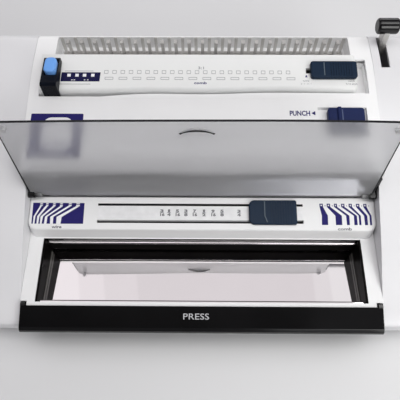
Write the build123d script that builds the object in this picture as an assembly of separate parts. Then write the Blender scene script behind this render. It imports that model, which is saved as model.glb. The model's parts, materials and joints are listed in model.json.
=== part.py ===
from build123d import *
import math
import os

# Desktop punch-and-bind machine for wire and plastic-comb spines.
# Millimetres. +X right, +Y to the back, +Z up. All sections below are laid out
# from the hinge line of the smoked lid (y = 0, z = 0) and are shifted on export so
# that the model's origin is the bottom centre of the machine, on the table.

os.makedirs("parts", exist_ok=True)

# ---- driving dimensions ----------------------------------------------------
HALF_W = 225.0          # half of the overall width
CHEEK_IN = 178.0        # inner face of the side covers
Y_FRONT = -131.0        # front of the press bar
Y_REAR = 175.0          # rear wall
Z_TABLE = -88.0         # underside of the feet, below the hinge line
LEAN = 6.6              # lid leans back this far past upright when open
LID_W = 350.0
LID_H = 109.3
LID_T = 2.5
WALL = 2.6
WELL_X = 161.2          # half width of the wire-closing well
WELL_REAR = -38.0
WELL_FRONT = -103.4
COMB_PITCH = 14.2875    # 9/16 inch, 21 rings on A4
WIRE_PITCH = 8.4667     # 1/3 inch, 34 loops on A4
STROKE = 7.6            # punch stroke
PIVOT_Y, PIVOT_Z = -109.5, -38.0   # press bar pivot
SECTOR_M, SECTOR_Z = 1.5, 38       # press bar sector gear: r = 28.5
PUNCH_Y, PUNCH_Z = 60.0, 10.0      # punch shaft
MOTOR_Y, MOTOR_Z = 90.0, 10.0      # motor shaft
COMB_Y, COMB_Z = 150.0, 9.0        # comb opener shaft
LEVER_LEAN = -8.0                  # comb lever leans back at rest
Y_SHIFT = -(Y_FRONT + Y_REAR) / 2
Z_SHIFT = -Z_TABLE


# ---- helpers ---------------------------------------------------------------
def lab(y):
    """Height of the sloping top face of the upper housing."""
    return 32.7 + 0.17 * (y - 5.7)


def deck(y):
    return lab(y) + 5.2


def panel(y):
    """Height of the sloping selector panel."""
    return -5.9 + 0.174 * (y - 1.6)


def arms(y):
    """Height of the two arms beside the well."""
    return -24.8 + 0.0529 * (y + 37.2)


def bed(y):
    """Top of the polished bed of the well."""
    return -51.1 - 0.068 * (y + 80.0)


def prism(pts, x0, x1):
    """Closed polygon of (y, z) points, extruded along X."""
    w = Wire.make_polygon([(x0, y, z) for y, z in pts], close=True)
    return Solid.extrude(Face(w), Vector(x1 - x0, 0, 0))


def prism_edges(edges, dx):
    return Solid.extrude(Face(Wire(edges)), Vector(dx, 0, 0))


def plan(pts, z0, z1):
    """Closed polygon of (x, y) points, extruded along Z."""
    w = Wire.make_polygon([(x, y, z0) for x, y in pts], close=True)
    return Solid.extrude(Face(w), Vector(0, 0, z1 - z0))


def box(x0, x1, y0, y1, z0, z1):
    return Solid.make_box(x1 - x0, y1 - y0, z1 - z0).moved(Location((x0, y0, z0)))


def cyl_x(y, z, r, x0, x1):
    return Solid.make_cylinder(r, x1 - x0, Plane(origin=(x0, y, z), z_dir=(1, 0, 0)))


def cyl_z(x, y, r, z0, z1):
    return Solid.make_cylinder(r, z1 - z0, Plane(origin=(x, y, z0), z_dir=(0, 0, 1)))


def cyl_y(x, z, r, y0, y1):
    return Solid.make_cylinder(r, y1 - y0, Plane(origin=(x, y0, z), z_dir=(0, 1, 0)))


def cut(a, *tools):
    for t in tools:
        a = a - t
    return a


def fuse(a, *others):
    for o in others:
        a = a + o
    return a


def solids(*shapes):
    out = []
    for s in shapes:
        if isinstance(s, (list, tuple)):
            out += solids(*s)
        else:
            out += list(s.solids())
    return out


def save(name, *shapes):
    c = Compound(solids(*shapes)).moved(Location((0, Y_SHIFT, Z_SHIFT)))
    export_step(c, f"parts/{name}.step")


def mirror_x(s):
    return s.mirror(Plane.YZ)


def try_fillet(s, edges, r):
    edges = list(edges)
    if not edges:
        print("no edges to fillet", r)
        return s
    for rr in (r, r * 0.7, r * 0.45):
        try:
            t = s.fillet(rr, edges)
            if t.is_valid and t.volume > 0:
                return t
        except Exception:
            pass
    print("fillet skipped", r, len(edges))
    return s


def gear(z, m, y, zc, x0, x1, first=0.0, bore=0.0, thin=0.43):
    """Spur gear, axis along X. The first tooth points at `first` degrees from +Y."""
    r = m * z / 2
    ra, rf = r + 0.9 * m, r - 1.2 * m
    p = 2 * math.pi / z
    pts = []
    for k in range(z):
        c = math.radians(first) + k * p
        for rad, h in ((rf, -0.33), (r, -thin / 2), (ra, -0.11), (ra, 0.11), (r, thin / 2), (rf, 0.33)):
            a = c + h * p
            pts.append((y + rad * math.cos(a), zc + rad * math.sin(a)))
    g = prism(pts, x0, x1)
    if bore:
        g = g - cyl_x(y, zc, bore, x0 - 1, x1 + 1)
    return g


# ---- side covers -----------------------------------------------------------
def side_profile(x0, inset=0.0, bottom=-84.5):
    """Side view of a side cover. The top edge is one smooth curve."""
    i = inset
    top = [(-119.5 + i, -36.0 - i * 0.6), (-100, -29.5 - i), (-46, -7.2 - i), (2, 9.5 - i), (30, 23.5 - i),
           (60, 38.6 - i), (95, 47.6 - i), (130, 52.4 - i), (160, 53.0 - i)]
    e = [Edge.make_spline([(x0, y, z) for y, z in top])]
    rest = [(160, 53.0 - i), (166 - i * 0.5, 52.3 - i * 0.8), (172.5 - i, 47.5 - i * 0.5), (175 - i, 40.0), (175 - i, bottom),
            (-112 + i, bottom), (-122.5 + i, -60.0), (-124 + i, -45.0), (-123 + i, -39.0 - i * 0.3), (-119.5 + i, -36.0 - i * 0.6)]
    for a, b in zip(rest, rest[1:]):
        e.append(Edge.make_line((x0, *a), (x0, *b)))
    return e


def side_cover():
    """Right-hand side cover."""
    outer = prism_edges(side_profile(CHEEK_IN), HALF_W - CHEEK_IN)
    es = [e for e in outer.edges() if abs(e.center().X - HALF_W) < 0.01 and e.center().Z > -70]
    outer = try_fillet(outer, es, 9.0)
    inner = prism_edges(side_profile(CHEEK_IN + 2.4, 2.6, -90.0), HALF_W - CHEEK_IN - 2 * 2.4 - 0.6)
    s = outer - inner
    s = s - box(170, 220.2, -113, 172.3, -90, -81.5)   # room for the base pan's edge
    return s


right = side_cover()
left = mirror_x(right)
# inner wall: openings for the press bar's pivot pins and the comb opener's shaft
for sx in (1, -1):
    hole = cyl_x(PIVOT_Y, PIVOT_Z, 2.6, 176, 186)
    if sx > 0:
        right = right - hole
    else:
        left = left - mirror_x(hole)
# comb lever slot in the top of the right cover, and its shaft hole in the inner wall
right = right - box(186.4, 195.6, 124.2, 165.0, 42, 62) - cyl_x(COMB_Y, COMB_Z, 4.6, 176, 183)
# chip tray passage through both walls of the left cover
left = left - box(-230, -170, 1.2, 52.8, -81.6, -42.2)
# vent slots low on each outer wall
for k in range(8):
    y = 86 + 9 * k
    right = right - box(219, 230, y, y + 4, -62, -30)
    left = left - box(-230, -219, y, y + 4, -62, -30)
save("right_side_cover", right)
save("left_side_cover", left)

# ---- base ------------------------------------------------------------------
base = box(-219, 219, -111, 171.5, -85, -82.5)
base = fuse(base, box(-176, 176, -111, -109, -82.5, -74.5), box(-176, 176, 169.5, 171.5, -82.5, -72))
# taller front flange behind the press bar's skirt, open where the two racks pass
base = fuse(base, box(-108, 108, -111, -109, -74.6, -63), *[box(*sorted((sx * 132, sx * 170)), -111, -109, -74.6, -63) for sx in (-1, 1)])
feet_xy = [(-196, -92), (196, -92), (-196, 150), (196, 150)]
screw_xy = [(-205, -60), (205, -60), (-205, 110), (205, 110), (-60, -98), (60, -98), (-60, 160), (60, 160)]
for x, y in feet_xy:
    base = base - cyl_z(x, y, 2.5, -86, -82)
for x, y in screw_xy:
    base = base - cyl_z(x, y, 1.8, -86, -82)
save("base_pan", base)
feet = []
for x, y in feet_xy:
    f = cyl_z(x, y, 10, -88, -85) + cyl_z(x, y, 2.45, -85, -81)
    feet.append(f)
save("rubber_feet", *feet)
screws = []
for x, y in screw_xy:
    screws.append(cyl_z(x, y, 3.2, -86.6, -85) + cyl_z(x, y, 1.75, -85, -76.5))
save("base_screws", *screws)

# ---- front bezel with the selector panel -----------------------------------
BZ = 177.8
plate = prism([(2.0, arms(2.0)), (-107.0, arms(-107.0)), (-107.0, arms(-107) - 2.4), (2.0, arms(2) - 2.4)], -BZ, BZ)
front_lip = prism([(-107.0, arms(-107.0) - 1.2), (-105.4, arms(-107.0) - 1.2), (-105.4, -33.5), (-107.0, -33.5)], -165, 165)
plateau = prism([(1.0, panel(1.0)), (-33.2, panel(-33.2)), (-37.2, arms(-37.2) - 1.0), (1.0, arms(1.0) - 1.0)], -BZ, BZ)
es = [e for e in plateau.edges() if abs(abs(e.center().X) - BZ) < 0.01 and -37 < e.center().Y < -33.5 and e.length > 8]
plateau = try_fillet(plateau, es, 9.0)
top_face = max(plateau.faces(), key=lambda f: f.normal_at().Z)
plateau = try_fillet(plateau, [e for e in top_face.edges() if -36.0 < e.center().Y < -20.0 and e.length > 100], 2.2)
plateau = try_fillet(plateau, [e for e in plateau.edges() if e.center().Y > 0.9 and e.center().Z > -7.5 and e.length > 100], 0.6)
bezel = plate + plateau
hollow = prism([(3.0, panel(3.0) - WALL), (-30.2, panel(-30.2) - WALL), (-34.0, -30), (3.0, -30)], -172.4, 172.4)
bezel = bezel - hollow
bezel = bezel - prism([(WELL_REAR, -20), (WELL_FRONT, -20), (WELL_FRONT, -40), (WELL_REAR, -40)], -163.5, 163.5)
bezel = bezel + front_lip
# the two guide slots of the size slider
for y0, y1 in ((-8.5, -6.0), (-26.4, -22.8)):
    bezel = bezel - box(-107.0, 103.8, y0, y1, -24, 0)
# room for the two ears of the press bar, and legs down to the base
for sx in (-1, 1):
    a, b = sorted((sx * 171.2, sx * 180.0))
    bezel = bezel - box(a, b, -110, -102.6, -40, -20)
    a, b = sorted((sx * 171.4, sx * 176.6))
    bezel = bezel + box(a, b, -60, -50, -82.5, arms(-55) - 1.0) + box(a, b, -22, -14, -82.5, arms(-18) - 1.0)
save("front_bezel", bezel)

# ---- black liner of the well -----------------------------------------------
liner = prism([(-36.5, arms(-36.5) - 3.0), (WELL_FRONT, arms(WELL_FRONT) - 3.0), (WELL_FRONT, -57), (-36.5, -57)], -163.4, 163.4)
liner = fuse(liner, prism([(WELL_REAR - 0.2, arms(WELL_REAR) - 0.3), (WELL_FRONT + 0.2, arms(WELL_FRONT) - 0.3), (WELL_FRONT + 0.2, -40), (WELL_REAR - 0.2, -40)], -163.2, 163.2))
liner = liner - box(-WELL_X, WELL_X, WELL_FRONT + 0.2, -30, -60, -10)
liner = liner - box(-131, -109, -110, -98, -58, -50) - box(109, 131, -110, -98, -58, -50)
save("well_liner", liner)

# ---- size slider (saddle over the two slots) --------------------------------
PA = math.degrees(math.atan(0.174))


def on_panel(s):
    """Local frame: origin on the selector panel at y = 1.6, z along its normal."""
    return s.moved(Location((0, 1.6, -5.9), (PA, 0, 0)))


sl = box(48.2, 97.0, -30.0, -4.2, 0.35, 3.4)
sl = try_fillet(sl, [e for e in sl.edges() if abs(e.center().Z - 1.875) < 0.1 and e.center().X < 50], 6.0)
sl = try_fillet(sl, [e for e in sl.edges() if abs(e.center().Z - 1.875) < 0.1 and e.center().X > 96 and e.length < 4], 2.2)
sl = try_fillet(sl, [e for e in sl.edges() if e.center().Z > 3.3], 1.4)
rg = [(63.5, -5.4), (63.5, -21.4), (66.0, -28.4), (67.6, -28.4), (64.8, -21.0), (64.8, -5.4)]
ridge = Solid.extrude(Face(Wire([Edge.make_line((*a, 3.2), (*b, 3.2)) for a, b in zip(rg, rg[1:] + rg[:1])])), Vector(0, 0, 0.7))
grooves = [box(x, x + 0.8, -30, 0, 3.0, 5.0) for x in (70.5 + 2.6 * k for k in range(9))]
sl = cut(sl, *grooves) + ridge
sl = on_panel(sl)
legs = [box(52, 93, yc - 0.6, yc + 0.6, -19.0, panel(yc) + 1.2) for yc in (-7.4, -24.7)]
carrier = box(50, 95, -28.0, -4.0, -21.0, -19.0)
pin = cyl_z(72.5, -12.0, 2.0, -36.4, -21.0)
save("size_slider", fuse(sl, *legs))
save("slider_carrier", fuse(carrier, pin))

# ---- anvil: rear jaw of the well, set by the size slider ---------------------
ANVIL_RATIO = 0.25
# a black bar hanging under the front edge of a polished plate; it clears the sloping bed
bar = box(-160.6, 160.6, -40.2, -36.8, -50.2, -34.3)
bar = try_fillet(bar, [e for e in bar.edges() if e.length > 300 and e.center().Z < -50], 0.8)
save("anvil_bar", bar)
nose = box(-160.6, 160.6, -40.2, -36.8, -34.3, -31.9)
nose = try_fillet(nose, [e for e in nose.edges() if e.length > 300 and e.center().Z > -32 and e.center().Y < -40], 1.1)
aplate = nose + box(-145, 145, -36.8, 31.0, -34.3, -31.9)
# diagonal slot: the pin runs up to 150 mm along X and the plate follows at a quarter of that
s0, s1 = (72.5 + 6.0, -12.0 - 6.0 * ANVIL_RATIO), (72.5 - 151.5, -12.0 + 151.5 * ANVIL_RATIO)
ang = math.degrees(math.atan2(s1[1] - s0[1], s1[0] - s0[0]))
ln = math.hypot(s1[0] - s0[0], s1[1] - s0[1])
slot = Solid.make_box(ln, 4.3, 10).moved(Location((0, -2.15, 0)))
slot = slot + Solid.make_cylinder(2.15, 10) + Solid.make_cylinder(2.15, 10).moved(Location((ln, 0, 0)))
slot = slot.moved(Location((s0[0], s0[1], -38), (0, 0, ang)))
aplate = aplate - slot
save("anvil_plate", aplate)
rails = []
for sx in (-1, 1):
    a, b = sorted((sx * 140.0, sx * 155.2))
    c, d = sorted((sx * 145.4, sx * 155.2))
    rails.append(box(a, b, -25.0, -1.0, -37.5, -34.7) + box(c, d, -25.0, -1.0, -82.5, -28.0))
save("anvil_rails", *rails)

# ---- closing jaw: polished bed with an upturned front lip, and its racks -----
jaw = prism([(-102.6, bed(-102.6)), (-34.0, bed(-34.0)), (-34.0, bed(-34.0) - 1.5), (-102.6, bed(-102.6) - 1.5)], -160.6, 160.6)
jaw = jaw + prism([(-102.6, bed(-102.6) - 0.5), (-101.1, bed(-101.1) - 0.5), (-101.1, -33.0), (-102.6, -33.0)], -160.6, 160.6)
save("closing_jaw", jaw)
RS = SECTOR_M * SECTOR_Z / 2
rack_p = math.pi * SECTOR_M
zp = PIVOT_Z - RS
racks = []
for sx in (-1, 1):
    x0, x1 = sx * 120 - 4, sx * 120 + 4
    pts = [(-84.0, zp - 7.5), (-84.0, zp - 1.2 * SECTOR_M)]
    ys = [PIVOT_Y + k * rack_p for k in (1, 0, -1, -2, -3)]
    for yc in ys:
        pts += [(yc + 0.33 * rack_p, zp - 1.2 * SECTOR_M), (yc + 0.215 * rack_p, zp), (yc + 0.11 * rack_p, zp + 0.9 * SECTOR_M),
                (yc - 0.11 * rack_p, zp + 0.9 * SECTOR_M), (yc - 0.215 * rack_p, zp), (yc - 0.33 * rack_p, zp - 1.2 * SECTOR_M)]
    pts += [(-126.5, zp - 1.2 * SECTOR_M), (-126.5, zp - 7.5)]
    r = prism(pts, x0, x1)
    # cut back so that the rack stays inside the press bar's skirt
    r = r - box(x0 - 1, x1 + 1, -130, -118.2, -80, -50)
    post = prism([(-94, zp - 1.8), (-84, zp - 1.8), (-84, bed(-84) - 1.5), (-94, bed(-94) - 1.5)], x0, x1)
    racks.append(r + post)
save("jaw_racks", *racks)
guides = []
for sx in (-1, 1):
    g = box(sx * 120 - 9, sx * 120 + 9, -106, -70, -82.5, zp - 7.7)
    g = g + box(sx * 120 - 9, sx * 120 - 4.5, -106, -70, zp - 7.7, zp - 2.5) + box(sx * 120 + 4.5, sx * 120 + 9, -106, -70, zp - 7.7, zp - 2.5)
    guides.append(g)
save("rack_guides", *guides)

# ---- press bar -----------------------------------------------------------------
PB = 176.4
outer = [(-107.6, -26.9), (-127.5, -32.8), (-130.2, -34.8), (-131.0, -38.0), (-124.0, -70.0), (-121.4, -70.0)]
inner = [(-121.4, -69.4), (-127.8, -38.4), (-127.0, -36.2), (-107.6, -30.3)]
press = prism(outer + inner, -PB, PB)
es = [e for e in press.edges() if e.length > 300 and ((abs(e.center().Y + 127.5) < 0.1) or (abs(e.center().Y + 130.2) < 0.1) or (abs(e.center().Y + 131.0) < 0.1))]
press = try_fillet(press, es, 1.6)
cap = [(-107.6, -27.0), (-127.5, -32.9), (-130.0, -35.0), (-130.8, -38.2), (-123.9, -69.9), (-120.0, -69.9), (-111.5, -50), (-105.4, -42), (-105.0, -33), (-107.6, -32.4)]
for sx in (-1, 1):
    press = press + prism(cap, *sorted((sx * (PB - 2.6), sx * PB)))
    a, b = sorted((sx * (PB - 5.0), sx * PB))
    press = press + cyl_x(PIVOT_Y, PIVOT_Z, 4.9, a, b)
    a, b = sorted((sx * 172.2, sx * PB))
    ear = prism([(-108.6, -40.0), (-108.6, -27.6), (-107.4, -26.2), (-105.2, -26.0), (-103.6, -27.4), (-103.4, -32.0), (-105.4, -40.0)], a, b)
    press = press + ear
for sx in (-1, 1):
    press = press - cyl_x(PIVOT_Y, PIVOT_Z, 2.5, *sorted((sx * (PB - 9), sx * (PB + 3))))
save("press_bar", press)
pins = [cyl_x(PIVOT_Y, PIVOT_Z, 2.5, *sorted((sx * (PB - 5.5), sx * 184.0))) for sx in (-1, 1)]
save("press_pivot_pins", *pins)
# sector gears: hub and arm under the bar, teeth towards the rack
sectors = []
full = gear(SECTOR_Z, SECTOR_M, PIVOT_Y, PIVOT_Z, 0, 1, first=-90 + 180 / SECTOR_Z)
for sx in (-1, 1):
    x0, x1 = sx * 120 - 3, sx * 120 + 3
    g = gear(SECTOR_Z, SECTOR_M, PIVOT_Y, PIVOT_Z, x0, x1, first=-90 + 180 / SECTOR_Z)
    g = g - cyl_x(PIVOT_Y, PIVOT_Z, 23.0, x0 - 1, x1 + 1)
    a0, a1 = math.radians(-90 - 21), math.radians(-90 + 6)
    wedge = prism([(PIVOT_Y, PIVOT_Z), (PIVOT_Y + 40 * math.cos(a0), PIVOT_Z + 40 * math.sin(a0)), (PIVOT_Y + 40 * math.cos((a0 + a1) / 2) * 1.05, PIVOT_Z + 40 * math.sin((a0 + a1) / 2) * 1.05),
                   (PIVOT_Y + 40 * math.cos(a1), PIVOT_Z + 40 * math.sin(a1))], x0 - 1, x1 + 1)
    g = g & wedge
    arm = prism([(-118.5, -33.9), (-117.9, PIVOT_Z - 23.6), (PIVOT_Y + 2.2, PIVOT_Z - 23.6), (-108.0, -30.8)], x0, x1)
    s = fuse(*[p for p in g.solids()], arm) if len(g.solids()) > 1 else g + arm
    under = prism([(-107.7, -30.33), (-127.0, -36.23), (-127.8, -38.5), (-121.6, -69.6), (-100, -69.6), (-100, -30.33)], x0 - 1, x1 + 1)
    s = s & under
    sectors.append(s)
save("press_sectors", *sectors)

# ---- smoked lid ----------------------------------------------------------------
def lid_open(s):
    """From the lid's flat frame (hinge axis on X, sheet towards -Y) to its open pose."""
    return s.moved(Location((0, 0, 0), (-(90 + LEAN), 0, 0)))


LID_X = -1.3            # the sheet sits this far left of the middle between its hinges
lw = LID_W / 2
xl, xr = LID_X - lw, LID_X + lw
sheet = box(xl, xr, -LID_H - 2.0, 1.0, 0.16, 0.16 + LID_T)
# the free edge bows out slightly towards its middle
bow = [(xl, -LID_H + 2.6), (LID_X - lw / 2, -LID_H + 0.7), (LID_X, -LID_H), (LID_X + lw / 2, -LID_H - 0.3), (xr, -LID_H + 1.3)]
edge = Edge.make_spline([(x, y, -5) for x, y in bow])
lines = [Edge.make_line((xr, -LID_H + 1.3, -5), (xr, 5, -5)), Edge.make_line((xr, 5, -5), (xl, 5, -5)), Edge.make_line((xl, 5, -5), (xl, -LID_H + 2.6, -5))]
outline = Solid.extrude(Face(Wire([edge, *lines])), Vector(0, 0, 12))
sheet = sheet & outline
if not isinstance(sheet, Solid):
    sheet = sheet.solids()[0]
sheet = try_fillet(sheet, [e for e in sheet.edges() if abs(abs(e.center().X - LID_X) - lw) < 0.5 and e.center().Y < -100 and abs(e.length - LID_T) < 0.2], 7.0)
# notches for the hinge blocks
sheet = cut(sheet, box(170.6, 180, -4.8, 5, -5, 8), box(-180, -170.6, -4.8, 5, -5, 8))
for sx in (-1, 1):
    a, b = sorted((sx * 163.4, sx * 170.4))
    sheet = sheet + cyl_x(0, 0, 2.66, a, b)
    sheet = sheet - cyl_x(0, 0, 1.4, a - 1, b + 1)
# finger pull: a crescent scoop in the outer face that stands proud of the inner face
PULL_X, PULL_R, PULL_S = -4.0, 19.7, 81.6          # middle, radius of the arc, its centre from the hinge
rise = prism([(-92.5, 0.3), (-92.5, 0.16), (-101.4, -1.56), (-101.4, 0.3)], PULL_X - 20, PULL_X + 20)
sheet = sheet + (cyl_z(PULL_X, -PULL_S, PULL_R, -3, 0.3) & rise)
scoop = prism([(-86.0, 2.66), (-100.6, -0.22), (-100.6, 4.0), (-84.0, 4.0)], PULL_X - 20, PULL_X + 20)
sheet = sheet - (cyl_z(PULL_X, -PULL_S, PULL_R - 1.2, -3, 6) & scoop)
lid = lid_open(sheet)
save("smoked_lid", lid)
bumps = [lid_open(cyl_z(LID_X + sx * 166.4, -101.3, 2.3, 0.16 - 4.2, 0.16)) for sx in (-1, 1)]
save("lid_bumpers", *bumps)
hp = [cyl_x(0, 0, 1.4, *sorted((sx * 163.4, sx * 176.6))) for sx in (-1, 1)]
save("lid_hinge_pins", *hp)
blocks = []
for sx in (-1, 1):
    a, b = sorted((sx * 170.9, sx * 177.4))
    bl = prism([(5.4, 11.0), (20, 11.0), (20, -19), (3.3, -19), (3.3, -4.2), (0.0, -3.4), (0.0, 3.4), (3.9, 3.9)], a, b)
    # raised cheek between the sheet and the fascia
    c, d = sorted((sx * 165.6, sx * 177.4))
    bl = bl + prism([(3.95, 4.2), (6.2, 24.0), (8.0, 24.0), (8.0, 12.4), (11.0, 11.4), (11.0, 4.2)], c, d)
    bl = bl + cyl_x(0, 0, 3.4, a, b)
    bl = bl - cyl_x(0, 0, 1.46, a - 1, b + 1)
    blocks.append(bl)
save("hinge_blocks", *blocks)

# ---- upper housing ---------------------------------------------------------------
HX = 177.8
FY = 8.2
outer = [(FY, 14), (FY, lab(FY)), (110, lab(110)), (130, 52.4), (162, 53.0), (170.5, 49.5), (Y_REAR, 41.0), (Y_REAR, -81.5)]
inner = [(Y_REAR - WALL, -81.5), (Y_REAR - WALL, 40.3), (168.8, 47.2), (161.6, 50.4), (130, 49.8), (110, lab(110) - WALL), (FY + WALL, lab(FY + WALL) - WALL - 0.1), (FY + WALL, 14)]
hsg = prism(outer + inner, -HX, HX)
hsg = try_fillet(hsg, [e for e in hsg.edges() if abs(e.center().Y - FY) < 0.05 and abs(e.center().Z - lab(FY)) < 0.05 and e.length > 300], 3.4)
hsg = try_fillet(hsg, [e for e in hsg.edges() if e.length > 300 and e.center().Y > 165 and e.center().Z > 45 and (e.center().Y > 170 or e.center().Z > 49)], 6.0)
# scalloped lower edge of the front fascia
sc = [(-HX, 18.6), (-160, 20.5), (-118, 26.6), (-74, 30.2), (-37, 28.9), (0, 26.4), (37, 28.9), (74, 30.2), (118, 26.6), (160, 20.5), (HX, 18.6)]
e0 = Edge.make_spline([(x, 0, z) for x, z in sc])
tool = Solid.extrude(Face(Wire([e0, Edge.make_line((HX, 0, 18.6), (HX, 0, 5)), Edge.make_line((HX, 0, 5), (-HX, 0, 5)), Edge.make_line((-HX, 0, 5), (-HX, 0, 18.6))])), Vector(0, 12.5, 0))
hsg = hsg - tool
# pockets: deck, comb opener trough, punch switch
DP0, DP1, DPX, DPR = 88.9, 134.0, 167.5, 170.2
pocket_front = [(-104, DP0), (-92, 90.0), (-74, 91.4), (-48, 92.3), (0, 91.9), (30, 92.6), (54, 93.5), (100, 93.8), (DPR, 93.4)]
hsg = hsg + box(-DPX - 2, DPR + 2, DP0 - 2, DP1 + 2, 37.2, 46.6)
TR0, TR1, TRX = 139.0, 167.0, 156.0
hsg = hsg + box(-TRX - 2, TRX + 2, TR0 - 2.2, TR1 + 2, 33.4, 49.0)
PR = (116.5, 166.0, 46.5, 77.5)
hsg = hsg + prism([(PR[2] - 2, lab(PR[2]) - 6.4), (PR[3] + 2, lab(PR[3]) - 6.4), (PR[3] + 2, lab(PR[3]) - 1.5), (PR[2] - 2, lab(PR[2]) - 1.5)], PR[0] - 2, PR[1] + 2)
e0 = Edge.make_spline([(x, y, 39.4) for x, y in pocket_front])
pk = [Edge.make_line(a, b) for a, b in (((DPR, 93.4, 39.4), (DPR, DP1, 39.4)), ((DPR, DP1, 39.4), (-DPX, DP1, 39.4)), ((-DPX, DP1, 39.4), (-DPX, DP0, 39.4)), ((-DPX, DP0, 39.4), (-104, DP0, 39.4)))]
hsg = hsg - Solid.extrude(Face(Wire([e0, *pk])), Vector(0, 0, 30.6))
hsg = hsg - box(-TRX, TRX, TR0, TR1, 35.6, 70)
hsg = hsg - prism([(PR[2], lab(PR[2]) - 4.2), (PR[3], lab(PR[3]) - 4.2), (PR[3], 70), (PR[2], 70)], PR[0], PR[1])
hsg = hsg - box(133.5, 160.5, 58.5, 65.5, 20, 60)          # stem slot of the punch slide
hsg = hsg - box(106.0, 160.0, 112.0, 118.0, 30, 45)        # stem slot of the mode slider
hooks_x = [(k - 10) * COMB_PITCH for k in range(21)]
for x in hooks_x:
    hsg = hsg - box(x - 2.3, x + 2.3, 143.0, 156.1, 30, 40)
# mains inlet and switch openings in the rear wall
hsg = hsg - box(120, 148, 170, 178, -40, -18)
hsg = hsg - box(84, 106, 170, 178, -39, -19)
for k in range(14):
    hsg = hsg - box(-150 + 9 * k, -146 + 9 * k, 170, 178, -50, -20)
save("upper_housing", hsg)

# ---- deck -------------------------------------------------------------------------
DX0, DX1 = -166.6, 158.5
DF = 90.1
dk = prism([(DF, 39.4), (DF, deck(DF)), (133.6, deck(133.6)), (133.6, 39.4)], DX0, DX1)
wav = [(DX0 - 1, 91.3), (-148, 91.3), (-118, 91.4), (-100, 91.8), (-74, 92.5), (-40, 93.3), (0, 92.8), (30, 93.5), (54, 94.5), (100, 94.8), (DX1 + 1, 94.3)]
e0 = Edge.make_spline([(x, y, 30) for x, y in wav])
pl = Solid.extrude(Face(Wire([e0, Edge.make_line((DX1 + 1, 94.3, 30), (DX1 + 1, 140, 30)), Edge.make_line((DX1 + 1, 140, 30), (DX0 - 1, 140, 30)), Edge.make_line((DX0 - 1, 140, 30), (DX0 - 1, 91.3, 30))])), Vector(0, 0, 50))
dk = dk & pl
if not isinstance(dk, Solid):
    dk = dk.solids()[0]
dk = try_fillet(dk, [e for e in dk.edges() if abs(e.center().X - DX1) < 0.3 and abs(e.center().Y - 94.3) < 1.5 and abs(e.center().Z - 46) < 5], 5.0)
tf = max(dk.faces(), key=lambda f: f.center().Z)
dk = try_fillet(dk, [e for e in tf.edges() if e.center().Y < 131 and e.center().X > DX0 + 1], 5.0)
dk = dk - prism([(98.4, 30), (98.4, deck(98.4) - 3.4), (131.0, deck(131) - 2.6), (131.0, 30)], DX0 + 2.5, DX1 - 3.0)
dk = dk - box(106.0, 160.0 - 6, 112.0, 118.0, 45, 70)
save("deck_plate", dk)

# mode slider (wire or comb) on the deck
def on_deck(s, y0=90.0):
    return s.moved(Location((0, y0, deck(y0)), (math.degrees(math.atan(0.17)), 0, 0)))


ms = box(110.2, 157.4, 15.2, 34.5, 0.35, 4.8)
ms = try_fillet(ms, [e for e in ms.edges() if abs(e.center().Z - 2.575) < 0.1], 3.0)
ms = try_fillet(ms, [e for e in ms.edges() if e.center().Z > 4.7], 1.6)
ms = cut(ms, *[box(130.0 + 2.6 * k, 130.8 + 2.6 * k, 12, 38, 4.3, 6) for k in range(9)]) + box(124.6, 125.8, 16.6, 33.0, 4.6, 5.3)
ms = on_deck(ms)
ms = ms + box(136, 148, 113.2, 116.8, 30.5, deck(115) + 2.0)
save("mode_slider", ms)
# edge guide saddle on the left of the deck, with its blue release button
gd_out = prism([(89.3, 41.0), (89.3, 62.9), (91.9, 65.3), (121.0, 66.2), (124.5, 64.5), (124.5, deck(124.5) + 0.5), (96.6, deck(96.6) + 0.5), (92.2, deck(92) + 0.2), (90.8, deck(90.8) - 3.0), (90.8, 41.0)], -161.5, -145.2)
gd = try_fillet(gd_out, [e for e in gd_out.edges() if e.length > 15 and e.center().Z > 61], 1.4)
for k in range(4):
    gd = gd - box(-158.9 + 3.3 * k, -157.7 + 3.3 * k, 86, 89.9, 40, 61)
gd = gd - box(-158.8, -146.0, 100.6, 120.6, 61.0, 70)
save("edge_guide", gd)
bt = box(-158.4, -146.4, 101.0, 120.2, 61.2, 68.6)
bt = try_fillet(bt, [e for e in bt.edges() if abs(e.center().Z - 64.9) < 0.1], 5.0)
bt = try_fillet(bt, [e for e in bt.edges() if e.center().Z > 68.5], 1.8)
# the spring room under the button
save("guide_button", bt.moved(Location((0, 0, 2.0))))

# punch slide (navy) in its recess
ps = prism([(PR[2] + 1, lab(PR[2] + 1) - 3.8), (PR[3] - 1.2, lab(PR[3] - 1.2) - 3.8), (PR[3] - 1.2, lab(PR[3] - 1.2) + 2.6), (PR[2] + 1, lab(PR[2] + 1) + 2.6)], 126.3, 163.0)
ps = try_fillet(ps, [e for e in ps.edges() if abs(e.length - 6.4) < 0.3], 3.0)
tf = max(ps.faces(), key=lambda f: f.center().Z + 10 * f.normal_at().Z)
ps = try_fillet(ps, tf.edges(), 1.6)
rid = prism([(PR[2] + 2.5, lab(PR[2] + 2.5) + 2.3), (PR[3] - 2.0, lab(PR[3] - 2.0) + 2.3), (PR[3] - 2.0, lab(PR[3] - 2) + 4.4), (PR[2] + 2.5, lab(PR[2] + 2.5) + 4.4)], 135.4, 139.8)
rid = try_fillet(rid, [e for e in rid.edges() if e.length > 20 and e.center().Z > lab(62) + 3.5], 1.8)
ps = ps + rid + box(144.0, 156.0, 59.2, 64.8, 28.0, lab(62) - 2)
save("punch_slide", ps)
save("punch_switch", prism([(56, 20), (56, 34.9), (68, 36.7), (68, 20)], 118, 133) + box(133, 134.4, 59, 65, 28.5, 31.5))

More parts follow.
